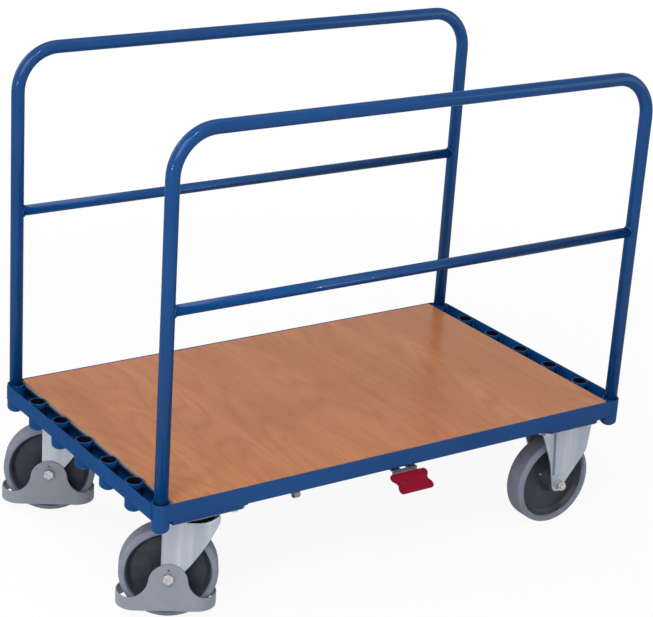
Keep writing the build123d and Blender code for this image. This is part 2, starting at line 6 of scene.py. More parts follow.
import bmesh
import bpy
from bpy.props import FloatProperty, FloatVectorProperty, IntProperty, PointerProperty
from bpy.types import Operator, Panel, PropertyGroup
from mathutils import Matrix, Vector

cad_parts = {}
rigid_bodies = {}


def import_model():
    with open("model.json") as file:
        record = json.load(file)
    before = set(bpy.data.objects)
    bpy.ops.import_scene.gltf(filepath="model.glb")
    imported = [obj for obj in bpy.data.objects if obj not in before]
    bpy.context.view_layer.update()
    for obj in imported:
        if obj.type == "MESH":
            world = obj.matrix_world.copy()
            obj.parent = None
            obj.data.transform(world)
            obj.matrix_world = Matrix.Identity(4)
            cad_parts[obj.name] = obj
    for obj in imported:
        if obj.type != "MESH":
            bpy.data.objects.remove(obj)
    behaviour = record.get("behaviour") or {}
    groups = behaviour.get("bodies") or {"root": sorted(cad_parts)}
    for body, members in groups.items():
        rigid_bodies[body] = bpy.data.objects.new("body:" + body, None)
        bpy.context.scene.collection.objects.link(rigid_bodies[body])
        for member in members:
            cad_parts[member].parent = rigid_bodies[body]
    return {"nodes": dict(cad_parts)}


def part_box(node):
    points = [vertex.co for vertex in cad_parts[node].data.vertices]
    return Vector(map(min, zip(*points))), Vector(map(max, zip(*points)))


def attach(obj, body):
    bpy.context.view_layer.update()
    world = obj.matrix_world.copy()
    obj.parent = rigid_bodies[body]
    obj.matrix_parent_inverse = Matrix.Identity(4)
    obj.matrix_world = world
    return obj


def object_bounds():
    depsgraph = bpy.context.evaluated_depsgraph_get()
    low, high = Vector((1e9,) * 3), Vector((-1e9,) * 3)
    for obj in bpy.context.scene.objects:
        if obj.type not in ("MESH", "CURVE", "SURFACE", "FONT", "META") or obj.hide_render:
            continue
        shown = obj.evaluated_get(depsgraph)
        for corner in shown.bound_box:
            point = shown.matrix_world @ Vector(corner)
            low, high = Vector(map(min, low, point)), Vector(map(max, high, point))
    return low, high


bl_info = {
    "name": "Hanger Trolley",
    "version": (1, 0, 0),
    "blender": (4, 5, 0),
    "location": "View3D > Sidebar > Trolley",
    "description": "Dresses a platform trolley with two lift-out hoops and sets it on a studio stage",
    "category": "Object",
}

for leftover in list(bpy.data.objects):
    bpy.data.objects.remove(leftover)
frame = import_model()
NODES = frame["nodes"]
CAD_LOW, CAD_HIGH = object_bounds()
BOARD_LOW, BOARD_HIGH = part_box("deck_board")
SOCKETS_LOW, SOCKETS_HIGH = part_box("corner_sockets")
DECK_MIDDLE = Vector(((BOARD_LOW.x + BOARD_HIGH.x) / 2, (BOARD_LOW.y + BOARD_HIGH.y) / 2, 0.0))
DECK_TOP = BOARD_HIGH.z
PICTURE_WIDTH = 653
SENSOR_WIDTH = 36.0
SOCKETS_PER_END = 7
CROSS_CHANNELS = 3
SIDES = ("front", "back")
ENDS = ((-1, "left"), (1, "right"))
UP = Vector((0.0, 0.0, 1.0))
FIXED_AXLE = Vector((0.0, 1.0, 0.0))
SWIVEL_REST_TURN = math.radians(-30)
SWIVEL_AXLE = Matrix.Rotation(SWIVEL_REST_TURN, 3, "Z") @ FIXED_AXLE
# Kind of wheel, its axle and the turn of the plug in its web
WHEELS = (("fixed", FIXED_AXLE, 2.6), ("swivel", SWIVEL_AXLE, 1.85))

# Facets round the small forms
CAP_RINGS = 6
CAP_STEPS = 40
TURNED_STEPS = 20
SADDLE_STEPS = 96
BEAD_STEPS = 120
HEAD_RING_STEPS = 48
THREAD_STEPS = 32
FLOOR_STEPS = 96

# Edges of the dressed nodes
MERGE_DISTANCE = 0.00002
FLAT_ANGLE = math.radians(0.5)
EDGE_ANGLE = math.radians(34)
EDGE_STEPS = 2

# Cosines that tell which way a face looks, and heights that tell where it lies
SOCKET_FACING = 0.5
CHANNEL_FACING = 0.9
FOLD_FACING = 0.3
TREAD_FACING = 0.3
CROWN_FACING = 0.99
CROWN_GAP = 0.001
TOP_FACING = 0.999
TOP_GAP = 0.0001

# Seams and ridges, as shares of a seam's radius or of a thread's pitch
SEAM_RIPPLE = 0.13
SEAM_END_SHARE = 0.45
CORNER_OFFSET = 0.4
FLAT_OFFSET = 0.5
SADDLE_OFFSET = 0.3
RIDGE_SHARE = 0.3
RIDGE_START = 0.6

# Places of the short seams along a plate, as shares of its length
STITCH_SHARES = (0.12, 0.5, 0.88)

# Depth of the relief in the finishes
BUMP_DEPTH = 0.0003
FIXING_BUMP_DEPTH = 0.0002

# Turned profiles: share of the radius, then metres along the axis
PLUG_PROFILE = ((1.25, -0.0005), (1.25, 0.0006), (1.0, 0.0009), (0.9, 0.0026), (0.45, 0.0033))
DIMPLE_PROFILE = ((1.1, -0.0006), (1.0, 0.0001), (0.8, 0.0003), (0.4, 0.0003))
PIN_PROFILE = ((1.2, -0.0006), (1.1, 0.0002), (0.7, 0.0006), (0.3, 0.0007))
# Mark in the middle of a bolt's head: radius, then metres along the axle
HEAD_MARK_PROFILE = ((0.0022, 0.0006), (0.0022, -0.0002), (0.0012, -0.0005))

# Stage
LAMP_AIM = Vector((0.0, 0.0, 0.4))
FLOOR_GREY = 0.8
FLOOR_DROP = 0.0004
WHITE = (1.0, 1.0, 1.0, 1.0)


def screen_colour(red, green, blue):
    """Linear colour of an 8-bit screen colour."""
    linear = []
    for value in (red, green, blue):
        share = value / 255
        linear.append(share / 12.92 if share <= 0.04045 else ((share + 0.055) / 1.055) ** 2.4)
    return tuple(linear)


def colour_property(name, description, red, green, blue):
    """Colour swatch with a screen colour as its default."""
    return FloatVectorProperty(
        name=name, description=description, subtype="COLOR", size=3, min=0.0, max=1.0,
        default=screen_colour(red, green, blue),
    )


def length_property(name, description, metres):
    """Length in metres."""
    return FloatProperty(
        name=name, description=description, unit="LENGTH", subtype="DISTANCE", min=0.0, default=metres,
        precision=5,
    )


def angle_property(name, description, radians):
    """Angle in radians."""
    return FloatProperty(name=name, description=description, subtype="ANGLE", default=radians)


def power_property(name, description, watts):
    """Power of a lamp in watts."""
    return FloatProperty(name=name, description=description, subtype="POWER", default=watts)


class TrolleyColours(PropertyGroup):
    """Colours of the finishes."""

    paint: colour_property("Paint", "Blue of the frame and hoops", 10, 65, 120)
    paint_deep: colour_property("Paint, deep", "Blue where the coat lies thicker", 8, 59, 112)
    # Painted shade: colour inside the free sockets' bores, where only shade falls.
    socket_shade: colour_property("Socket bores", "Dark inside of the free sockets", 14, 17, 24)
    # Painted shade: colour of the narrow gaps behind the end bars.
    gap_shade: colour_property("Gaps", "Dark film in the gaps behind the end bars", 16, 24, 44)
    wood_pale: colour_property("Board, pale", "Lighter streaks of the board", 189, 126, 83)
    wood_dark: colour_property("Board, dark", "Darker streaks of the board", 162, 99, 62)
    wood_fleck: colour_property("Board, fleck", "Short dark flecks in the grain", 140, 84, 56)
    wood_edge: colour_property("Board edge", "Cut edge of the board", 176, 160, 138)
    zinc: colour_property("Zinc", "Plated sheet of forks and plates", 185, 191, 200)
    # Duller plating streaks, and also the dark side of the painted reflection bands.
    zinc_dull_and_reflection: colour_property("Zinc, dull", "Duller streaks of the plating", 155, 163, 176)
    # Painted shade: darker plating on the slopes of the brackets' ribs.
    zinc_fold_shade: colour_property("Zinc, folds", "Dull plating on the brackets' ribs", 104, 117, 140)
    fixing: colour_property("Fixings", "Plating of bolts and nuts", 206, 204, 202)
    fixing_dull: colour_property("Fixings, dull", "Duller clouds on bolts and nuts", 164, 162, 161)
    guard: colour_property("Foot guard", "Moulded grey of the foot guards", 131, 137, 148)
    tyre: colour_property("Tyre", "Grey of the tyres' sides", 118, 124, 140)
    # Painted shade: darker grey on the tyres' rolling surface.
    tyre_tread_shade: colour_property("Tyre tread", "Darker grey of the tyres' rolling surface", 112, 116, 130)
    hub: colour_property("Hub", "Dark moulding of the wheel bodies", 50, 53, 62)
    plug: colour_property("Hub plug", "Pale plug in a wheel body", 112, 114, 122)
    tread: colour_property("Pedal tread", "Red of the pedal's tread", 134, 6, 40)
    lever: colour_property("Lever", "Dark plated steel of the pedal lever", 132, 130, 138)
    # Dark seal of the swivel bearings, partly painted shade; also painted shade on the forks' crowns.
    seal_and_shade: colour_property("Seal and shade", "Dark grease and seal of the swivel bearings", 26, 26, 28)
    mark: colour_property("Small marks", "Dimples and pins on the mouldings", 40, 42, 48)


class TrolleySizes(PropertyGroup):
    """Sizes of the rounded edges, seams and small fittings."""

    paint_round: length_property("Frame edge", "Round on the painted steel's edges", 0.0008)
    sheet_round: length_property("Sheet edge", "Round on the plated sheet's edges", 0.0007)
    guard_round: length_property("Guard edge", "Round on the foot guards' edges", 0.0013)
    tread_round: length_property("Tread edge", "Round on the pedal tread's edges", 0.0016)
    board_round: length_property("Board edge", "Round on the board's edges", 0.0006)
    fixing_round: length_property("Fixing edge", "Round on bolts and nuts", 0.0005)
    foot_round: length_property("Socket foot", "Round at the lower edge of the sockets", 0.007)
    cap_lean: angle_property("Cap lean", "Slope of a socket's cap at its rim", math.radians(50))
    # Heights at which the painted shade in the gaps behind the end bars starts and fades.
    gap_shade_start: length_property("Gap shade top", "Depth below the deck at which the gaps are dark", 0.012)
    gap_shade_end: length_property("Gap shade fade", "Depth below the deck at which the gaps are blue again", 0.003)
    gap_shade_edge: length_property("Gap shade edge", "Half the fade at the end bars' lower edges", 0.001)
    seam_radius: length_property("Seam", "Radius of the frame's weld seams", 0.0022)
    fine_seam_radius: length_property("Fine seam", "Radius of the seams at rails and plates", 0.0014)
    saddle_radius: length_property("Saddle seam", "Radius of the seams round the cross tubes", 0.0018)
    seam_pitch: length_property("Seam pitch", "Spacing of the ripples in a seam", 0.0026)
    stitch_length: length_property("Stitch", "Length of a short seam at a plate", 0.024)
    rim_radius: length_property("Tread rim", "Radius of the raised rim round the pedal's tread", 0.0012)
    rim_inset: length_property("Rim inset", "Distance of the rim from the tread's edge", 0.0026)
    pin_radius: length_property("Pins", "Radius of the tread's pins and the guards' dimples", 0.0018)
    pin_spread: length_property("Pin spread", "Distance of a tread pin from the middle", 0.024)
    dimple_rise: length_property("Dimple", "Height of a guard's dimple above the axle", 0.014)
    plug_radius: length_property("Hub plug", "Radius of the plug in a wheel body", 0.0024)
    hub_web: length_property("Hub web", "Half the thickness of a wheel body's web", 0.0070)
    plug_reach: length_property("Plug place", "Distance of the plug from the axle", 0.030)
    ring_radius: length_property("Head ring", "Radius of the ring on an axle bolt's head", 0.0064)
    thread_pitch: length_property("Thread", "Spacing of the ridges on a bolt's end", 0.0014)
    bead_radius: length_property("Tyre bead", "Radius of the raised line round a tyre's side", 0.0007)
    bead_share: FloatProperty(
        name="Bead place", description="Share of a tyre's radius at which its raised line lies",
        subtype="FACTOR", min=0.0, max=1.0, default=0.885,
    )
    seam_sides: IntProperty(name="Seam sides", description="Facets round a seam", default=8, min=4)


class TrolleyStage(PropertyGroup):
    """Camera, lamps and floor."""

    lens_pixels: FloatProperty(
        name="Lens", description="Focal length in pixels of the picture", default=1960.0,
    )
    yaw: angle_property("Yaw", "Turn from +Y towards +X", 0.61588)
    pitch: angle_property("Pitch", "Angle down", 0.36445)
    roll: angle_property("Roll", "Turn about the view line", -0.06734)
    place: FloatVectorProperty(
        name="Camera", description="Camera from the floor under the middle of the deck",
        subtype="TRANSLATION", size=3, default=(-2.05267, -2.91082, 1.80007),
    )
    key_power: power_property("Key lamp", "Broad lamp at the front", 98.0)
    top_power: power_property("Top lamp", "Lamp overhead", 20.0)
    fill_power: power_property("Fill lamp", "Lamp at the right", 36.0)
    back_power: power_property("Back lamp", "Lamp behind", 72.0)
    high_glint: power_property("High glint", "Narrow lamp high up", 24.0)
    low_glint: power_property("Low glint", "Narrow lamp at the left", 20.0)
    sky_level: FloatProperty(name="Sky", description="Even light from all sides", default=0.22)
    floor_white: FloatProperty(
        name="Floor glow", description="Share of plain white in the floor near the trolley",
        subtype="FACTOR", min=0.0, max=1.0, default=0.92,
    )
    floor_radius: length_property("Floor", "Radius of the floor", 14.0)
    floor_fade_start: length_property("Fade start", "Where the floor starts to fade into white", 0.8)
    floor_fade_end: length_property("Fade end", "Where the floor is white", 2.6)


def new_node(nodes, kind, **values):
    """Shader node with even values on its inputs."""
    node = nodes.new("ShaderNode" + kind)
    for name, value in values.items():
        node.inputs[name.replace("_", " ")].default_value = value
    return node


class FinishNodes:
    """Node tree of one finish, in the trolley's own coordinates."""

    def __init__(self, name):
        self.material = bpy.data.materials.new(name)
        self.material.use_nodes = True
        self.nodes = self.material.node_tree.nodes
        self.links = self.material.node_tree.links
        self.shader = self.nodes["Principled BSDF"]
        coordinates = new_node(self.nodes, "TexCoord")
        self.place = coordinates.outputs["Object"]
        self.facing = coordinates.outputs["Normal"]

    def keep(self, **values):
        """Sets even values on the shader's own sockets."""
        for name, value in values.items():
            self.shader.inputs[name.replace("_", " ")].default_value = value

    def feed(self, socket, output):
        """Links an output to one of the shader's sockets."""
        self.links.new(output, self.shader.inputs[socket])

    def through(self, kind, value, socket, output, **values):
        """Output of a new node that a value runs into."""
        node = new_node(self.nodes, kind, **values)
        self.links.new(value, node.inputs[socket])
        return node.outputs[output]

    def stretched(self, scale):
        """Coordinates stretched by a scale for each axis."""
        return self.through("Mapping", self.place, "Vector", "Vector", Scale=scale)

    def noise(self, vector, scale, detail=2.0, roughness=0.5):
        """Soft noise from 0 to 1."""
        even = {"Scale": scale, "Detail": detail, "Roughness": roughness}
        return self.through("TexNoise", vector, "Vector", "Fac", **even)

    def cells(self, vector, scale):
        """Colour value of a pattern of cells."""
        return self.through("TexVoronoi", vector, "Vector", "Color", Scale=scale)

    def span(self, value, from_low, from_high, low, high):
        """Value moved from one range to another."""
        limits = {"From_Min": from_low, "From_Max": from_high, "To_Min": low, "To_Max": high}
        return self.through("MapRange", value, "Value", "Result", **limits)

    def clouds(self, scale):
        """Soft clouds from 0 to 1."""
        return self.span(self.noise(self.place, scale, 3.0), 0.32, 0.68, 0.0, 1.0)

    def blend(self, share, first, second):
        """Mix of two colours, each an output or a plain colour."""
        node = new_node(self.nodes, "Mix")
        node.data_type = "RGBA"
        self.links.new(share, node.inputs[0])
        for index, colour in ((6, first), (7, second)):
            if isinstance(colour, bpy.types.NodeSocket):
                self.links.new(colour, node.inputs[index])
            else:
                node.inputs[index].default_value = (*colour, 1.0)
        return node.outputs[2]

    def roughen(self, scale, low, high):
        """Uneven roughness between two values."""
        self.feed("Roughness", self.span(self.noise(self.place, scale, 3.0), 0.3, 0.7, low, high))

    def rings(self, value, step):
        """Contour lines of a value, one for each two steps."""
        node = new_node(self.nodes, "Math")
        node.operation = "PINGPONG"
        node.inputs[1].default_value = step
        self.links.new(value, node.inputs[0])
        return self.span(node.outputs["Value"], 0.0, step, 0.0, 1.0)

    def axis(self, vector, name):
        """One axis of a vector."""
        return self.through("SeparateXYZ", vector, "Vector", name)

    def bump(self, height, strength, distance=BUMP_DEPTH):
        """Bump on the shader's normal."""
        even = {"Strength": strength, "Distance": distance}
        self.feed("Normal", self.through("Bump", height, "Height", "Normal", **even))


def finish(name):
    """Finish of that name, made the first time that it is asked for."""
    found = bpy.data.materials.get(name)
    return found or FINISHES[name](name, bpy.context.scene.trolley_colours)


def cloudy(tree, colour, darker, scale):
    """Soft clouds between a colour and a darker one; gives the clouds for other uses."""
    cloud = tree.clouds(scale)
    tree.feed("Base Color", tree.blend(cloud, darker, colour))
    return cloud


def shade(colour, share):
    """Colour at a share of its brightness."""
    return tuple(value * share for value in colour)


def clouded(name, colour, darkest, scale, roughness, grain=None, **even):
    """Finish with soft clouds down to a share of the colour; grain is its scale, detail and strength."""
    tree = FinishNodes(name)
    cloud = cloudy(tree, colour, shade(colour, darkest), scale)
    tree.feed("Roughness", tree.span(cloud, 0.0, 1.0, *roughness))
    tree.keep(**even)
    if grain:
        fineness, detail, strength = grain
        tree.bump(tree.noise(tree.place, fineness, detail), strength)
    return tree.material


def paint_finish(name, colours, gloss=0.08):
    """Powder coat: even blue with a faint orange peel."""
    tree = FinishNodes(name)
    cloudy(tree, colours.paint, colours.paint_deep, 6.0)
    tree.roughen(45.0, 0.22, 0.34)
    tree.keep(Specular_IOR_Level=0.01, Coat_Weight=gloss, Coat_IOR=2.5, Coat_Roughness=0.10)
    tree.bump(tree.noise(tree.place, 700.0, 2.0), 0.03)
    return tree.material


def bar_paint_finish(name, colours):
    """Powder coat of the flat end bars, with less gloss."""
    return paint_finish(name, colours, gloss=0.02)


def socket_shade_finish(name, colours):
    """Painted shade inside a socket, with traces of paint."""
    tree = FinishNodes(name)
    cloudy(tree, colours.socket_shade, shade(colours.socket_shade, 0.4), 120.0)
    tree.roughen(90.0, 0.6, 0.8)
    tree.keep(Specular_IOR_Level=0.05)
    return tree.material


def gap_shade_finish(name, colours):
    """Painted shade in the narrow gaps behind the end bars, which fades into the paint."""
    sizes = bpy.context.scene.trolley_sizes
    tree = FinishNodes(name)
    height = tree.axis(tree.place, "Z")
    gap_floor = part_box("end_bar_left")[0].z
    cloud = tree.span(tree.noise(tree.place, 90.0, 3.0), 0.3, 0.7, 0.0, 1.0)
    gap_shade_tone = tree.blend(cloud, shade(colours.gap_shade, 0.7), colours.gap_shade)
    at_top = tree.span(height, DECK_TOP - sizes.gap_shade_start, DECK_TOP - sizes.gap_shade_end, 0.0, 1.0)
    tone = tree.blend(at_top, gap_shade_tone, colours.paint)
    above_floor = tree.span(height, gap_floor - sizes.gap_shade_edge, gap_floor + sizes.gap_shade_edge, 0.0, 1.0)
    tree.feed("Base Color", tree.blend(above_floor, colours.paint, tone))
    tree.roughen(45.0, 0.3, 0.45)
    tree.keep(Specular_IOR_Level=0.01, Coat_Weight=0.04, Coat_IOR=2.5, Coat_Roughness=0.10)
    return tree.material


def board_finish(name, colours):
    """Beech board: fine streaks and flecks along the width, layered cut edges."""
    tree = FinishNodes(name)
    broad = tree.noise(tree.stretched((18.0, 1.0, 18.0)), 1.0, 3.0, 0.55)
    figure = tree.rings(tree.noise(tree.stretched((7.0, 0.9, 7.0)), 1.0, 2.0, 0.35), 0.02)
    fine = tree.noise(tree.stretched((300.0, 5.0, 300.0)), 1.0, 4.0, 0.6)
    fleck = tree.noise(tree.stretched((420.0, 30.0, 420.0)), 1.0, 2.0, 0.5)
    tone = tree.blend(tree.span(broad, 0.30, 0.70, 0.25, 0.85), colours.wood_dark, colours.wood_pale)
    tone = tree.blend(tree.span(figure, 0.5, 1.0, 0.0, 0.65), tone, colours.wood_dark)
    tone = tree.blend(tree.span(fine, 0.42, 0.75, 0.0, 0.7), tone, colours.wood_dark)
    tone = tree.blend(tree.span(fleck, 0.56, 0.68, 0.0, 0.45), tone, colours.wood_fleck)
    layers = tree.noise(tree.stretched((9.0, 9.0, 900.0)), 1.0, 1.0)
    edge = tree.blend(tree.span(layers, 0.4, 0.6, 0.0, 0.7), colours.wood_edge, colours.wood_dark)
    upright = tree.span(tree.axis(tree.facing, "Z"), 0.5, 0.8, 0.0, 1.0)
    tree.feed("Base Color", tree.blend(upright, edge, tone))
    tree.feed("Roughness", tree.span(fine, 0.3, 0.7, 0.20, 0.32))
    tree.keep(Specular_IOR_Level=0.1)
    tree.bump(fine, 0.12)
    return tree.material


def zinc_finish(name, colours):
    """Plated sheet: upright bands of painted reflection, streaks, and a faint spangle."""
    tree = FinishNodes(name)
    reflection_bands = tree.noise(tree.stretched((26.0, 26.0, 1.6)), 1.0, 2.0, 0.5)
    streaks = tree.noise(tree.stretched((140.0, 140.0, 9.0)), 1.0, 3.0, 0.55)
    spangle = tree.cells(tree.place, 220.0)
    # Upright bands between dull and bright zinc are painted reflection.
    tone = tree.blend(tree.span(reflection_bands, 0.40, 0.58, 0.0, 1.0), colours.zinc_dull_and_reflection, colours.zinc)
    tone = tree.blend(tree.span(streaks, 0.4, 0.75, 0.0, 0.35), tone, colours.zinc_dull_and_reflection)
    tone = tree.blend(tree.span(spangle, 0.0, 1.0, 0.0, 0.16), tone, colours.zinc)
    tree.feed("Base Color", tone)
    tree.feed("Roughness", tree.span(streaks, 0.3, 0.7, 0.28, 0.42))
    tree.keep(Metallic=0.6)
    tree.bump(tree.noise(tree.place, 260.0, 3.0), 0.07)
    return tree.material


def fold_shade_finish(name, colours):
    """Painted shade on the slopes of the pressed brackets' ribs, as duller, darker plating."""
    return clouded(
        name, colours.zinc_fold_shade, darkest=0.8, scale=60.0, roughness=(0.3, 0.42), grain=(260.0, 3.0, 0.07),
        Metallic=0.5,
    )


def fixing_finish(name, colours):
    """Bright plated bolts and nuts."""
    tree = FinishNodes(name)
    cloudy(tree, colours.fixing, colours.fixing_dull, 190.0)
    tree.roughen(240.0, 0.26, 0.38)
    tree.keep(Metallic=0.75)
    tree.bump(tree.noise(tree.place, 900.0, 2.0), 0.08, FIXING_BUMP_DEPTH)
    return tree.material


def seal_and_shade_finish(name, colours):
    """Dark seal ring of a swivel bearing, partly painted shade; also painted shade on the forks' crowns
    under the plate.
    """
    return clouded(
        name, colours.seal_and_shade, darkest=0.4, scale=150.0, roughness=(0.4, 0.62), Specular_IOR_Level=0.15,
    )


def guard_finish(name, colours):
    """Moulded guard: matt grey with a fine grain."""
    return clouded(
        name, colours.guard, darkest=0.9, scale=26.0, roughness=(0.42, 0.54), grain=(1100.0, 2.0, 0.16),
        Specular_IOR_Level=0.3,
    )


def tyre_finish(name, colours):
    """Grey tyre: soft sheen with a fine drag."""
    return clouded(
        name, colours.tyre, darkest=0.84, scale=30.0, roughness=(0.44, 0.58), grain=(700.0, 3.0, 0.12),
        Specular_IOR_Level=0.3,
    )


def tread_shade_finish(name, colours):
    """Rolling surface of a tyre: more matt than its sides, and darker as painted shade."""
    return clouded(
        name, colours.tyre_tread_shade, darkest=0.82, scale=40.0, roughness=(0.6, 0.75), grain=(500.0, 3.0, 0.15),
        Specular_IOR_Level=0.2,
    )


def hub_finish(name, colours):
    """Dark moulded wheel body."""
    tree = FinishNodes(name)
    cloud = tree.clouds(32.0)
    tone = tree.blend(cloud, shade(colours.hub, 0.66), colours.hub)
    scuff = tree.span(tree.noise(tree.stretched((90.0, 90.0, 260.0)), 1.0, 5.0, 0.7), 0.56, 0.74, 0.0, 0.5)
    tree.feed("Base Color", tree.blend(scuff, tone, shade(colours.hub, 2.1)))
    tree.feed("Roughness", tree.span(cloud, 0.0, 1.0, 0.36, 0.5))
    tree.keep(Specular_IOR_Level=0.25)
    tree.bump(tree.noise(tree.place, 800.0, 2.0), 0.12)
    return tree.material


def plug_finish(name, colours):
    """Pale plug in a wheel body."""
    return clouded(name, colours.plug, darkest=0.7, scale=300.0, roughness=(0.3, 0.5))


def tread_finish(name, colours):
    """Red moulded tread with a soft gloss."""
    return clouded(
        name, colours.tread, darkest=0.78, scale=55.0, roughness=(0.34, 0.48), grain=(900.0, 2.0, 0.14),
        Specular_IOR_Level=0.1,
    )


def lever_finish(name, colours):
    """Dark plated steel of the lever and its bracket."""
    return clouded(
        name, colours.lever, darkest=0.72, scale=60.0, roughness=(0.34, 0.5), grain=(500.0, 2.0, 0.08),
        Metallic=0.45,
    )


def mark_finish(name, colours):
    """Dark pins and dimples."""
    return clouded(name, colours.mark, darkest=0.6, scale=400.0, roughness=(0.45, 0.6))


FINISHES = {
    "powder_blue": paint_finish,
    "powder_blue_flat": bar_paint_finish,
    "socket_bore": socket_shade_finish,
    "thin_coat": gap_shade_finish,
    "beech_board": board_finish,
    "plated_sheet": zinc_finish,
    "plated_folds": fold_shade_finish,
    "plated_fixings": fixing_finish,
    "greased_seal": seal_and_shade_finish,
    "moulded_grey": guard_finish,
    "grey_rubber": tyre_finish,
    "grey_rubber_tread": tread_shade_finish,
    "dark_moulding": hub_finish,
    "pale_plug": plug_finish,
    "red_moulding": tread_finish,
    "dark_plating": lever_finish,
    "dark_pins": mark_finish,
}


def dress(names, material, edge_round):
    """Gives CAD nodes their finish and rounds their edges."""
    for name in names:
        thing = NODES[name]
        mesh = thing.data
        mesh.materials.clear()
        mesh.materials.append(material)
        stored = mesh.attributes.get("custom_normal")
        if stored:
            mesh.attributes.remove(stored)
        mesh.shade_smooth()
        join = thing.modifiers.new("joined faces", "WELD")
        join.merge_threshold = MERGE_DISTANCE
        flat = thing.modifiers.new("plain flats", "DECIMATE")
        flat.decimate_type = "DISSOLVE"
        flat.angle_limit = FLAT_ANGLE
        if edge_round > 0:
            edge = thing.modifiers.new("round edges", "BEVEL")
            edge.width = edge_round
            edge.segments = EDGE_STEPS
            edge.limit_method = "ANGLE"
            edge.angle_limit = EDGE_ANGLE
            edge.use_clamp_overlap = False
            edge.harden_normals = True


def second_finish(names, material, chosen):
    """Gives the chosen faces of CAD nodes a finish of their own."""
    for name in names:
        mesh = NODES[name].data
        mesh.materials.append(material)
        index = len(mesh.materials) - 1
        for face in mesh.polygons:
            if chosen(face.center, face.normal):
                face.material_index = index


def add_wall(shape, first, second):
    """Adds the faces between two rings of vertices."""
    count = len(first)
    for index in range(count):
        other = (index + 1) % count
        shape.faces.new((first[index], first[other], second[other], second[index]))


def add_seam(shape, points, radius, closed=False, ripple=SEAM_RIPPLE):
    """Adds a weld seam along a line of points, or with no ripple a plain raised line."""
    sizes = bpy.context.scene.trolley_sizes
    sides = sizes.seam_sides
    count = len(points)
    rings = []
    travelled = 0.0
    across = None
    for index, point in enumerate(points):
        before = points[index - 1] if closed or index > 0 else point
        after = points[(index + 1) % count] if closed or index < count - 1 else point
        along = (after - before).normalized()
        across = across or along.orthogonal()
        across = (across - along * across.dot(along)).normalized()
        third = along.cross(across)
        if index > 0:
            travelled += (point - points[index - 1]).length
        swell = 1.0 + ripple * math.cos(2 * math.pi * travelled / sizes.seam_pitch)
        if not closed and index in (0, count - 1):
            swell = SEAM_END_SHARE
        ring = []
        for side in range(sides):
            angle = 2 * math.pi * side / sides
            offset = across * math.cos(angle) + third * math.sin(angle)
            ring.append(shape.verts.new(point + offset * radius * swell))
        rings.append(ring)
    pairs = list(zip(rings, rings[1:]))
    if closed:
        pairs.append((rings[-1], rings[0]))
    else:
        shape.faces.new(list(reversed(rings[0])))
        shape.faces.new(rings[-1])
    for first, second in pairs:
        add_wall(shape, first, second)


def circle(centre, axis, radius, steps):
    """Points round a circle."""
    along = axis.normalized()
    across = along.orthogonal().normalized()
    third = along.cross(across)
    points = []
    for step in range(steps):
        angle = 2 * math.pi * step / steps
        points.append(centre + (across * math.cos(angle) + third * math.sin(angle)) * radius)
    return points


def straight(start, end):
    """Points along a straight seam, four to a ripple."""
    step = bpy.context.scene.trolley_sizes.seam_pitch / 4
    first = Vector(start)
    last = Vector(end)
    count = max(2, int((last - first).length / step))
    return [first.lerp(last, index / count) for index in range(count + 1)]


def add_upright(shape, x, y, low, high, radius):
    """Adds an upright weld seam between two heights."""
    add_seam(shape, straight((x, y, low), (x, y, high)), radius)


def add_bead(shape, centre, axis, radius, steps, bead):
    """Adds a plain raised ring."""
    add_seam(shape, circle(centre, axis, radius, steps), bead, closed=True, ripple=0.0)


def new_piece(name, shape, material, body):
    """Object of a mesh being built, riding on a CAD body."""
    mesh = bpy.data.meshes.new(name)
    bmesh.ops.recalc_face_normals(shape, faces=shape.faces)
    shape.to_mesh(mesh)
    shape.free()
    mesh.shade_smooth()
    mesh.materials.append(material)
    thing = bpy.data.objects.new(name, mesh)
    bpy.context.scene.collection.objects.link(thing)
    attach(thing, body)


def add_turned(shape, profile, place, axis, steps=TURNED_STEPS):
    """Adds a turned form: profile points are (radius, along) from one end of the axis to the other."""
    rings = []
    for radius, travel in profile:
        points = circle(place + axis.normalized() * travel, axis, radius, steps)
        rings.append([shape.verts.new(point) for point in points])
    for first, second in zip(rings, rings[1:]):
        add_wall(shape, first, second)
    shape.faces.new(list(reversed(rings[0])))
    shape.faces.new(rings[-1])


def sized(profile, radius, start=0.0):
    """Turned profile at a radius, from a start along its axis."""
    return [(radius * share, start + travel) for share, travel in profile]


def middle(name):
    """Centre of a CAD node's box."""
    low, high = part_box(name)
    return (low + high) / 2


def reach(name, start, direction):
    """How far a CAD node goes from a point in a direction."""
    return max((vertex.co - start).dot(direction) for vertex in NODES[name].data.vertices)


def socket_radius():
    """Outer radius of a hoop socket, from the gap between the board frame and the end bar."""
    return (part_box("end_bar_right")[0].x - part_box("end_channel_right")[1].x) / 2


def socket_places(side):
    """Centres of the sockets at one end, on the deck's top."""
    radius = socket_radius()
    x = SOCKETS_HIGH.x - radius if side > 0 else SOCKETS_LOW.x + radius
    first = SOCKETS_LOW.y + radius
    pitch = (SOCKETS_HIGH.y - SOCKETS_LOW.y - 2 * radius) / (SOCKETS_PER_END - 1)
    return [Vector((x, first + index * pitch, DECK_TOP)) for index in range(SOCKETS_PER_END)]


def away_from_socket(places, centre, normal):
    """How far a face looks away from the middle of its socket, from -1 to 1."""
    nearest = min(places, key=lambda place: (place - centre).xy.length)
    away = (centre - nearest).xy
    return normal.xy.dot(away.normalized()) if away.length > 0 else 0.0


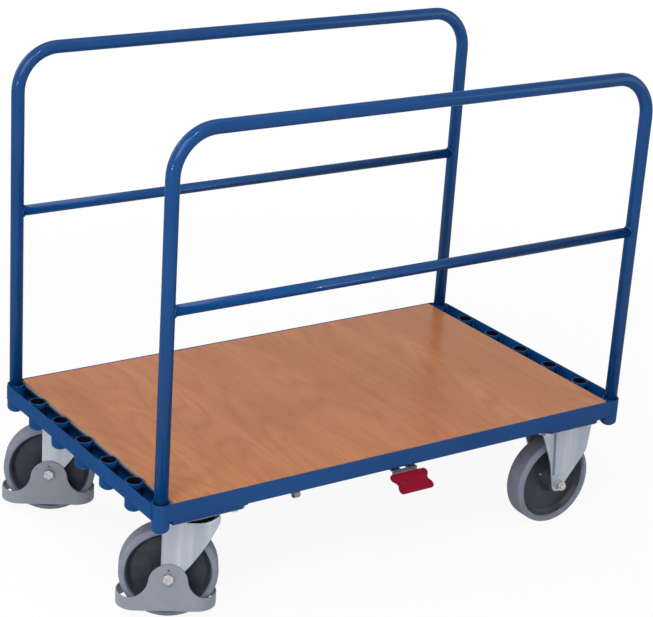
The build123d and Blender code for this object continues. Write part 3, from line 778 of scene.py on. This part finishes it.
class TROLLEY_OT_frame(Operator):
    """Paint the deck frame, paint shade into its free sockets and the gaps behind the end bars, and cap the
    sockets' feet
    """

    bl_idname = "trolley.frame"
    bl_label = "Deck Frame"

    def socket_cap(self, shape, place):
        """Domed closure under a socket, which carries on the round of the socket's foot."""
        sizes = bpy.context.scene.trolley_sizes
        lean = sizes.cap_lean
        rim = socket_radius() - sizes.foot_round * (1 - math.sin(lean))
        dome = rim / math.sin(lean)
        bottom = (dome - sizes.foot_round) * (1 - math.cos(lean))
        angles = [lean * (CAP_RINGS - ring) / CAP_RINGS for ring in range(CAP_RINGS)]
        profile = [(dome * math.sin(angle), bottom - dome * (1 - math.cos(angle))) for angle in angles]
        add_turned(shape, profile, Vector((place.x, place.y, SOCKETS_LOW.z)), -UP, CAP_STEPS)

    def execute(self, context):
        edge_round = context.scene.trolley_sizes.paint_round
        paint = finish("powder_blue")
        gap_shade = finish("thin_coat")
        names = ["side_rail_front", "side_rail_back", "cross_channels", "castor_mounting_plates"]
        dress(names + ["corner_sockets"], paint, edge_round)
        for side, end in ENDS:
            sockets = "hoop_sockets_" + end
            channel = "end_channel_" + end
            places = socket_places(side)
            dress([sockets, channel], paint, edge_round)
            dress(["end_bar_" + end], finish("powder_blue_flat"), edge_round)

            def look(centre, normal):
                return away_from_socket(places, centre, normal)

            # The free sockets' bores get painted shade.
            second_finish([sockets], finish("socket_bore"), lambda *face: look(*face) < -SOCKET_FACING)
            # Outer walls of the free sockets and the channels' upright faces get painted shade.
            second_finish([sockets], gap_shade, lambda *face: look(*face) > SOCKET_FACING)
            second_finish([channel], gap_shade, lambda centre, normal: abs(normal.x) > CHANNEL_FACING)
            shape = bmesh.new()
            for place in places:
                self.socket_cap(shape, place)
            new_piece("socket_caps_" + end, shape, paint, "chassis")
        return {"FINISHED"}


class TROLLEY_OT_frame_seams(Operator):
    """Lay the weld seams of the deck frame"""

    bl_idname = "trolley.frame_seams"
    bl_label = "Frame Seams"

    def socket_seams(self, shape, side, end):
        """Seams on both sides of each socket in a row, at the end bar and at the channel's edges."""
        sizes = bpy.context.scene.trolley_sizes
        seam = sizes.seam_radius
        fine = sizes.fine_seam_radius
        radius = socket_radius()
        bar_low, bar_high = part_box("end_bar_" + end)
        low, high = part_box("end_channel_" + end)
        bar_x = (bar_low.x if side > 0 else bar_high.x) - side * seam
        channel_x = (high.x if side > 0 else low.x) + side * fine
        beside_bar = math.sqrt((radius + seam) ** 2 - (radius - seam) ** 2)
        beside_channel = math.sqrt((radius + fine) ** 2 - (radius - fine) ** 2)
        for place in socket_places(side):
            for turn in (-1, 1):
                y = place.y + turn * beside_bar
                if not bar_low.y < y < bar_high.y:
                    continue
                add_upright(shape, bar_x, y, bar_low.z + seam, bar_high.z - seam, seam)
                y = place.y + turn * beside_channel
                add_upright(shape, channel_x, y, high.z - 3 * fine, high.z - fine, fine)
                add_upright(shape, channel_x, y, low.z + fine, low.z + 3 * fine, fine)

    def corner_seams(self, shape, side, end):
        """Seams between the corner sockets, the rails and the end bar's ends."""
        fine = bpy.context.scene.trolley_sizes.fine_seam_radius
        radius = socket_radius()
        bar_low, bar_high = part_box("end_bar_" + end)
        bar_face = bar_low.x if side > 0 else bar_high.x
        for name, turn in (("side_rail_front", -1), ("side_rail_back", 1)):
            rail_low, rail_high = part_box(name)
            outer_y = rail_low.y if turn < 0 else rail_high.y
            x = (rail_high.x if side > 0 else rail_low.x) + side * fine * CORNER_OFFSET
            y = outer_y - turn * fine
            add_upright(shape, x, y, rail_low.z + 3 * fine, rail_high.z - fine, fine)
            y = outer_y - turn * (radius - fine * FLAT_OFFSET)
            add_upright(shape, bar_face, y, bar_low.z + fine, bar_high.z - fine, fine)

    def plate_stitches(self, shape):
        """Short seams between the castors' mounting plates and the rails."""
        sizes = bpy.context.scene.trolley_sizes
        fine = sizes.fine_seam_radius
        half = sizes.stitch_length / 2
        plates_low, plates_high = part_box("castor_mounting_plates")
        z = plates_high.z
        for castor in ("swivel_plates", "fixed_bracket_front"):
            castor_low, castor_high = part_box(castor)
            for y in (plates_low.y - fine * FLAT_OFFSET, plates_high.y + fine * FLAT_OFFSET):
                for share in STITCH_SHARES:
                    x = castor_low.x + (castor_high.x - castor_low.x) * share
                    add_seam(shape, straight((x - half, y, z), (x + half, y, z)), fine)

    def channel_seams(self, shape):
        """Upright seams between the cross channels' webs and the rails."""
        seam = bpy.context.scene.trolley_sizes.seam_radius
        low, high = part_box("cross_channels")
        channel_low, channel_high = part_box("end_channel_left")
        row = high.x - low.x - (channel_high.x - channel_low.x)
        offset = seam * CORNER_OFFSET
        for index in range(CROSS_CHANNELS):
            x = low.x + row * index / (CROSS_CHANNELS - 1) - offset
            for y in (low.y + offset, high.y - offset):
                add_upright(shape, x, y, low.z + 3 * seam, high.z - seam, seam)

    def execute(self, context):
        paint = finish("powder_blue")
        for side, end in ENDS:
            shape = bmesh.new()
            self.socket_seams(shape, side, end)
            self.corner_seams(shape, side, end)
            new_piece("socket_seams_" + end, shape, paint, "chassis")
        shape = bmesh.new()
        self.plate_stitches(shape)
        self.channel_seams(shape)
        new_piece("frame_stitches", shape, paint, "chassis")
        return {"FINISHED"}


class TROLLEY_OT_board(Operator):
    """Give the deck board its grain"""

    bl_idname = "trolley.board"
    bl_label = "Deck Board"

    def execute(self, context):
        dress(["deck_board"], finish("beech_board"), context.scene.trolley_sizes.board_round)
        return {"FINISHED"}


class TROLLEY_OT_hoops(Operator):
    """Paint the hoops and lay the seams round their cross tubes"""

    bl_idname = "trolley.hoops"
    bl_label = "Hoops"

    def execute(self, context):
        saddle = context.scene.trolley_sizes.saddle_radius
        paint = finish("powder_blue")
        for name in SIDES:
            rail = "hoop_%s_mid_rail" % name
            tube = "hoop_%s_tube" % name
            dress([rail, tube], paint, 0.0)
            rail_low, rail_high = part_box(rail)
            tube_low, tube_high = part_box(tube)
            rail_radius = (rail_high.y - rail_low.y) / 2
            leg_radius = (tube_high.y - tube_low.y) / 2
            line_radius = rail_radius + saddle * SADDLE_OFFSET
            centre = middle(rail)
            shape = bmesh.new()
            for side, leg_x in ((1, tube_low.x + leg_radius), (-1, tube_high.x - leg_radius)):
                points = []
                for step in range(SADDLE_STEPS):
                    angle = 2 * math.pi * step / SADDLE_STEPS
                    y = line_radius * math.cos(angle)
                    z = line_radius * math.sin(angle)
                    x = math.sqrt((leg_radius + saddle * SADDLE_OFFSET) ** 2 - y ** 2)
                    points.append(Vector((leg_x + side * x, centre.y + y, centre.z + z)))
                add_seam(shape, points, saddle, closed=True)
            new_piece("hoop_%s_seams" % name, shape, paint, "hoop_" + name)
        return {"FINISHED"}


class TROLLEY_OT_castors(Operator):
    """Plate the castors' brackets, forks and fixings"""

    bl_idname = "trolley.castors"
    bl_label = "Castors"

    def bolt_marks(self, side, axle):
        """Ring on a swivel axle bolt's head and ridges beyond its nut; axle points from head to nut."""
        sizes = bpy.context.scene.trolley_sizes
        bolt = "swivel_axle_bolt_" + side
        nut = "swivel_axle_nut_" + side
        start = middle("swivel_hub_" + side)
        head = start - axle * reach(bolt, start, -axle)
        nut_end = reach(nut, start, axle)
        bolt_end = reach(bolt, start, axle)
        shape = bmesh.new()
        ridge = sizes.thread_pitch * RIDGE_SHARE
        add_bead(shape, head, axle, sizes.ring_radius, HEAD_RING_STEPS, ridge)
        add_turned(shape, HEAD_MARK_PROFILE, head, axle)
        travel = nut_end + sizes.thread_pitch * RIDGE_START
        while travel < bolt_end - ridge:
            add_bead(shape, start + axle * travel, axle, sizes.ring_radius - ridge, THREAD_STEPS, ridge)
            travel += sizes.thread_pitch
        new_piece(bolt + "_marks", shape, finish("plated_fixings"), "swivel_" + side)

    def execute(self, context):
        sizes = context.scene.trolley_sizes
        zinc = finish("plated_sheet")
        fixing = finish("plated_fixings")
        seal_and_shade = finish("greased_seal")
        forks = ["swivel_fork_front", "swivel_fork_back"]
        brackets = ["fixed_bracket_front", "fixed_bracket_back"]
        dress(["swivel_plates"] + brackets + forks, zinc, sizes.sheet_round)

        def shaded_fold(centre, normal):
            return min(abs(normal.x), abs(normal.y)) > FOLD_FACING

        # The slopes of the brackets' ribs get painted shade.
        second_finish(brackets, finish("plated_folds"), shaded_fold)
        dress(["swivel_ball_rings"], seal_and_shade, sizes.fixing_round)
        names = [
            "castor_bolts", "castor_nuts", "swivel_king_pins", "fixed_axle_bolts", "fixed_axle_nuts",
            "fixed_axle_sleeves",
        ]
        for side in SIDES:
            names += ["swivel_axle_%s_%s" % (piece, side) for piece in ("bolt", "nut", "sleeve")]
        dress(names, fixing, sizes.fixing_round)
        seal_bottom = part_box("swivel_ball_rings")[0].z

        def shaded_crown(centre, normal):
            return normal.z > CROWN_FACING and abs(centre.z - seal_bottom) < CROWN_GAP

        # Fork crown faces under the castor plate get painted shade.
        second_finish(forks, seal_and_shade, shaded_crown)
        for side in SIDES:
            self.bolt_marks(side, SWIVEL_AXLE)
        return {"FINISHED"}


class TROLLEY_OT_wheels(Operator):
    """Finish the tyres, wheel bodies and bearings, and set a plug in each wheel body"""

    bl_idname = "trolley.wheels"
    bl_label = "Wheels"

    def tyre_lines(self, tyre, body, axle):
        """Raised line round each side of a tyre, where its side meets its rounded shoulder."""
        sizes = bpy.context.scene.trolley_sizes
        centre = middle(tyre)
        half_width = reach(tyre, centre, axle)
        radius = reach(tyre, centre, UP) * sizes.bead_share
        shape = bmesh.new()
        for turn in (-1, 1):
            side = centre + axle * turn * (half_width - sizes.bead_radius * FLAT_OFFSET)
            add_bead(shape, side, axle, radius, BEAD_STEPS, sizes.bead_radius)
        new_piece(tyre + "_lines", shape, finish("grey_rubber"), body)

    def hub_plug(self, hub, body, axle, turn):
        """Small domed plug on the outer side of a wheel body's web."""
        sizes = bpy.context.scene.trolley_sizes
        centre = middle(hub)
        level = axle.cross(UP)
        place = centre + (level * math.cos(turn) + UP * math.sin(turn)) * sizes.plug_reach
        shape = bmesh.new()
        add_turned(shape, sized(PLUG_PROFILE, sizes.plug_radius, sizes.hub_web), place, -axle)
        new_piece(hub + "_plug", shape, finish("pale_plug"), body)

    def execute(self, context):
        sizes = context.scene.trolley_sizes
        for kind, axle, turn in WHEELS:
            for side in SIDES:
                tyre = "%s_tyre_%s" % (kind, side)
                hub = "%s_hub_%s" % (kind, side)
                body = "%s_wheel_%s" % (kind, side)
                dress([tyre], finish("grey_rubber"), 0.0)
                # Tyre treads get a darker finish as painted shade.
                tread_shade = finish("grey_rubber_tread")
                second_finish([tyre], tread_shade, lambda centre, normal: abs(normal.dot(axle)) < TREAD_FACING)
                dress([hub], finish("dark_moulding"), sizes.sheet_round)
                dress(["%s_bearing_%s" % (kind, side)], finish("dark_pins"), sizes.fixing_round)
                self.tyre_lines(tyre, body, axle)
                self.hub_plug(hub, body, axle, turn)
        return {"FINISHED"}


class TROLLEY_OT_guards(Operator):
    """Finish the moulded foot guards and mark their dimples"""

    bl_idname = "trolley.guards"
    bl_label = "Foot Guards"

    def execute(self, context):
        sizes = context.scene.trolley_sizes
        profile = sized(DIMPLE_PROFILE, sizes.pin_radius)
        for side in SIDES:
            guard = "foot_guard_" + side
            dress([guard], finish("moulded_grey"), sizes.guard_round)
            centre = middle("swivel_hub_" + side)
            shape = bmesh.new()
            for axle in (SWIVEL_AXLE, -SWIVEL_AXLE):
                place = centre + axle * reach(guard, centre, axle) + UP * sizes.dimple_rise
                add_turned(shape, profile, place, axle)
            new_piece(guard + "_dimples", shape, finish("dark_pins"), "swivel_" + side)
        return {"FINISHED"}


class TROLLEY_OT_pedal(Operator):
    """Finish the brake pedal, its bracket and the cable clip, and pin the tread"""

    bl_idname = "trolley.pedal"
    bl_label = "Brake Pedal"

    def top_outline(self, mesh, outward, level):
        """Points round the top face of the tread, in order."""
        count = {}
        for face in mesh.polygons:
            height = face.center.dot(outward) - level
            if face.normal.dot(outward) > TOP_FACING and abs(height) < TOP_GAP:
                for edge in face.edge_keys:
                    count[edge] = count.get(edge, 0) + 1
        beside = {}
        for first, second in (edge for edge, uses in count.items() if uses == 1):
            beside.setdefault(first, []).append(second)
            beside.setdefault(second, []).append(first)
        start = min(beside)
        loop = [start, beside[start][0]]
        while loop[-1] != start:
            onward = [other for other in beside[loop[-1]] if other != loop[-2]]
            loop.append(onward[0])
        return [mesh.vertices[index].co.copy() for index in loop[:-1]]

    def inset(self, points, outward, distance):
        """Points of a closed outline moved inwards."""
        centre = sum(points, Vector()) / len(points)
        moved = []
        for index, point in enumerate(points):
            along = (points[(index + 1) % len(points)] - points[index - 1]).normalized()
            inward = outward.cross(along)
            if (centre - point).dot(inward) < 0:
                inward.negate()
            moved.append(point + inward * distance)
        return moved

    def execute(self, context):
        sizes = context.scene.trolley_sizes
        lever = finish("dark_plating")
        dress(["pedal_lever", "pedal_bracket", "brake_cable_clip"], lever, sizes.fixing_round)
        dress(["pedal_pivot_pin"], finish("plated_fixings"), sizes.fixing_round)
        dress(["pedal_tread"], finish("red_moulding"), sizes.tread_round)
        largest = max(NODES["pedal_tread"].data.polygons, key=lambda face: face.area * (face.normal.z > 0))
        outward = largest.normal.copy()
        centre = middle("pedal_tread")
        top = centre + outward * reach("pedal_tread", centre, outward)
        profile = sized(PIN_PROFILE, sizes.pin_radius)
        shape = bmesh.new()
        for turn in (-1, 1):
            place = top + Vector((turn * sizes.pin_spread, 0.0, 0.0))
            add_turned(shape, profile, place, outward)
        new_piece("pedal_tread_pins", shape, finish("dark_pins"), "brake_pedal")
        outline = self.top_outline(NODES["pedal_tread"].data, outward, top.dot(outward))
        shape = bmesh.new()
        rim = self.inset(outline, outward, sizes.rim_inset)
        add_seam(shape, rim, sizes.rim_radius, closed=True, ripple=0.0)
        new_piece("pedal_tread_rim", shape, finish("red_moulding"), "brake_pedal")
        return {"FINISHED"}


class TROLLEY_OT_stage(Operator):
    """Set the floor, the lamps, the sky and the camera"""

    bl_idname = "trolley.stage"
    bl_label = "Stage"

    def seen_rays(self, nodes, links):
        """Share that is 1 for rays from the camera, reflections and glass."""
        path = new_node(nodes, "LightPath")
        total = path.outputs["Is Camera Ray"]
        for name in ("Is Glossy Ray", "Is Transmission Ray"):
            larger = new_node(nodes, "Math")
            larger.operation = "MAXIMUM"
            links.new(total, larger.inputs[0])
            links.new(path.outputs[name], larger.inputs[1])
            total = larger.outputs["Value"]
        return total

    def mix_out(self, nodes, links, share, first, second, output):
        """Mix of two shaders on the tree's output."""
        mixed = new_node(nodes, "MixShader")
        links.new(share, mixed.inputs[0])
        links.new(first.outputs[0], mixed.inputs[1])
        links.new(second.outputs[0], mixed.inputs[2])
        links.new(mixed.outputs["Shader"], new_node(nodes, output).inputs["Surface"])

    def make_floor(self, stage):
        """Pale round floor, partly plain white to the eye, that fades into white far from the trolley."""
        material = bpy.data.materials.new("pale_floor")
        material.use_nodes = True
        nodes = material.node_tree.nodes
        links = material.node_tree.links
        nodes.clear()
        place = new_node(nodes, "TexCoord")
        distance = new_node(nodes, "VectorMath")
        distance.operation = "LENGTH"
        links.new(place.outputs["Object"], distance.inputs[0])
        fade = new_node(
            nodes, "MapRange", From_Min=stage.floor_fade_start, From_Max=stage.floor_fade_end,
            To_Min=stage.floor_white, To_Max=1.0,
        )
        fade.interpolation_type = "SMOOTHSTEP"
        links.new(distance.outputs["Value"], fade.inputs["Value"])
        share = new_node(nodes, "Math")
        share.operation = "MULTIPLY"
        links.new(fade.outputs["Result"], share.inputs[0])
        links.new(self.seen_rays(nodes, links), share.inputs[1])
        matt = new_node(nodes, "BsdfDiffuse", Color=(FLOOR_GREY, FLOOR_GREY, FLOOR_GREY, 1.0))
        white = new_node(nodes, "Emission", Color=WHITE, Strength=1.0)
        self.mix_out(nodes, links, share.outputs["Value"], matt, white, "OutputMaterial")
        shape = bmesh.new()
        bmesh.ops.create_circle(shape, cap_ends=True, segments=FLOOR_STEPS, radius=stage.floor_radius)
        mesh = bpy.data.meshes.new("studio_floor")
        shape.to_mesh(mesh)
        shape.free()
        mesh.materials.append(material)
        floor = bpy.data.objects.new("studio_floor", mesh)
        floor.location.z = CAD_LOW.z - FLOOR_DROP
        bpy.context.scene.collection.objects.link(floor)

    def make_sky(self, stage):
        """Even light, seen as white."""
        world = bpy.data.worlds.new("studio_sky")
        bpy.context.scene.world = world
        world.use_nodes = True
        nodes = world.node_tree.nodes
        links = world.node_tree.links
        nodes.clear()
        light = new_node(nodes, "Background", Color=WHITE, Strength=stage.sky_level)
        white = new_node(nodes, "Background", Color=WHITE, Strength=1.0)
        self.mix_out(nodes, links, self.seen_rays(nodes, links), light, white, "OutputWorld")

    def make_lamp(self, name, power, place, width, height):
        """Soft lamp aimed at the trolley."""
        data = bpy.data.lights.new(name, "AREA")
        data.shape = "RECTANGLE"
        data.energy = power
        data.size = width
        data.size_y = height
        lamp = bpy.data.objects.new(name, data)
        lamp.location = place
        aim = LAMP_AIM - Vector(place)
        lamp.rotation_euler = aim.to_track_quat("-Z", "Y").to_euler()
        bpy.context.scene.collection.objects.link(lamp)

    def make_camera(self, stage):
        """Camera at the picture's angle."""
        forward = Vector((
            math.sin(stage.yaw) * math.cos(stage.pitch),
            math.cos(stage.yaw) * math.cos(stage.pitch),
            -math.sin(stage.pitch),
        ))
        level = Vector((math.cos(stage.yaw), -math.sin(stage.yaw), 0.0))
        down = forward.cross(level)
        right = level * math.cos(stage.roll) + down * math.sin(stage.roll)
        up = level * math.sin(stage.roll) - down * math.cos(stage.roll)
        data = bpy.data.cameras.new("picture_camera")
        data.sensor_width = SENSOR_WIDTH
        data.lens = stage.lens_pixels / PICTURE_WIDTH * SENSOR_WIDTH
        camera = bpy.data.objects.new("picture_camera", data)
        turn = Matrix((right, up, -forward)).transposed().to_4x4()
        camera.matrix_world = Matrix.Translation(Vector(stage.place) + DECK_MIDDLE) @ turn
        bpy.context.scene.collection.objects.link(camera)
        bpy.context.scene.camera = camera

    def execute(self, context):
        stage = context.scene.trolley_stage
        context.scene.view_settings.view_transform = "Standard"
        self.make_floor(stage)
        self.make_sky(stage)
        make = self.make_lamp
        make("key_lamp", stage.key_power, place=(-2.4, -2.2, 2.8), width=2.4, height=2.4)
        make("top_lamp", stage.top_power, place=(0.2, 0.2, 3.8), width=2.6, height=2.6)
        make("fill_lamp", stage.fill_power, place=(3.2, -2.2, 1.6), width=2.4, height=2.4)
        make("back_lamp", stage.back_power, place=(-1.9, 3.0, 2.2), width=2.6, height=2.6)
        make("high_glint", stage.high_glint, place=(-0.85, -2.3, 3.4), width=0.14, height=0.8)
        make("low_glint", stage.low_glint, place=(-3.1, -1.6, 1.0), width=0.14, height=0.5)
        self.make_camera(stage)
        return {"FINISHED"}


STEPS = (
    TROLLEY_OT_frame,
    TROLLEY_OT_frame_seams,
    TROLLEY_OT_board,
    TROLLEY_OT_hoops,
    TROLLEY_OT_castors,
    TROLLEY_OT_wheels,
    TROLLEY_OT_guards,
    TROLLEY_OT_pedal,
    TROLLEY_OT_stage,
)


class TROLLEY_PT_panel(Panel):
    """Sidebar panel with the trolley's steps and values"""

    bl_idname = "TROLLEY_PT_panel"
    bl_label = "Hanger Trolley"
    bl_space_type = "VIEW_3D"
    bl_region_type = "UI"
    bl_category = "Trolley"

    def draw(self, context):
        layout = self.layout
        for step in STEPS:
            layout.operator(step.bl_idname)
        scene = context.scene
        for group in (scene.trolley_colours, scene.trolley_sizes, scene.trolley_stage):
            box = layout.box()
            for name in group.bl_rna.properties.keys():
                if name not in ("rna_type", "name"):
                    box.prop(group, name)


CLASSES = (TrolleyColours, TrolleySizes, TrolleyStage, *STEPS, TROLLEY_PT_panel)


def register():
    """Registers the classes and hangs their values on the scene."""
    for item in CLASSES:
        bpy.utils.register_class(item)
    bpy.types.Scene.trolley_colours = PointerProperty(type=TrolleyColours)
    bpy.types.Scene.trolley_sizes = PointerProperty(type=TrolleySizes)
    bpy.types.Scene.trolley_stage = PointerProperty(type=TrolleyStage)


def unregister():
    """Takes the values and classes away again."""
    del bpy.types.Scene.trolley_stage
    del bpy.types.Scene.trolley_sizes
    del bpy.types.Scene.trolley_colours
    for item in reversed(CLASSES):
        bpy.utils.unregister_class(item)


def main():
    """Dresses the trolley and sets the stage."""
    register()
    bpy.ops.trolley.frame()
    bpy.ops.trolley.frame_seams()
    bpy.ops.trolley.board()
    bpy.ops.trolley.hoops()
    bpy.ops.trolley.castors()
    bpy.ops.trolley.wheels()
    bpy.ops.trolley.guards()
    bpy.ops.trolley.pedal()
    bpy.ops.trolley.stage()


if __name__ == "__main__":
    main()
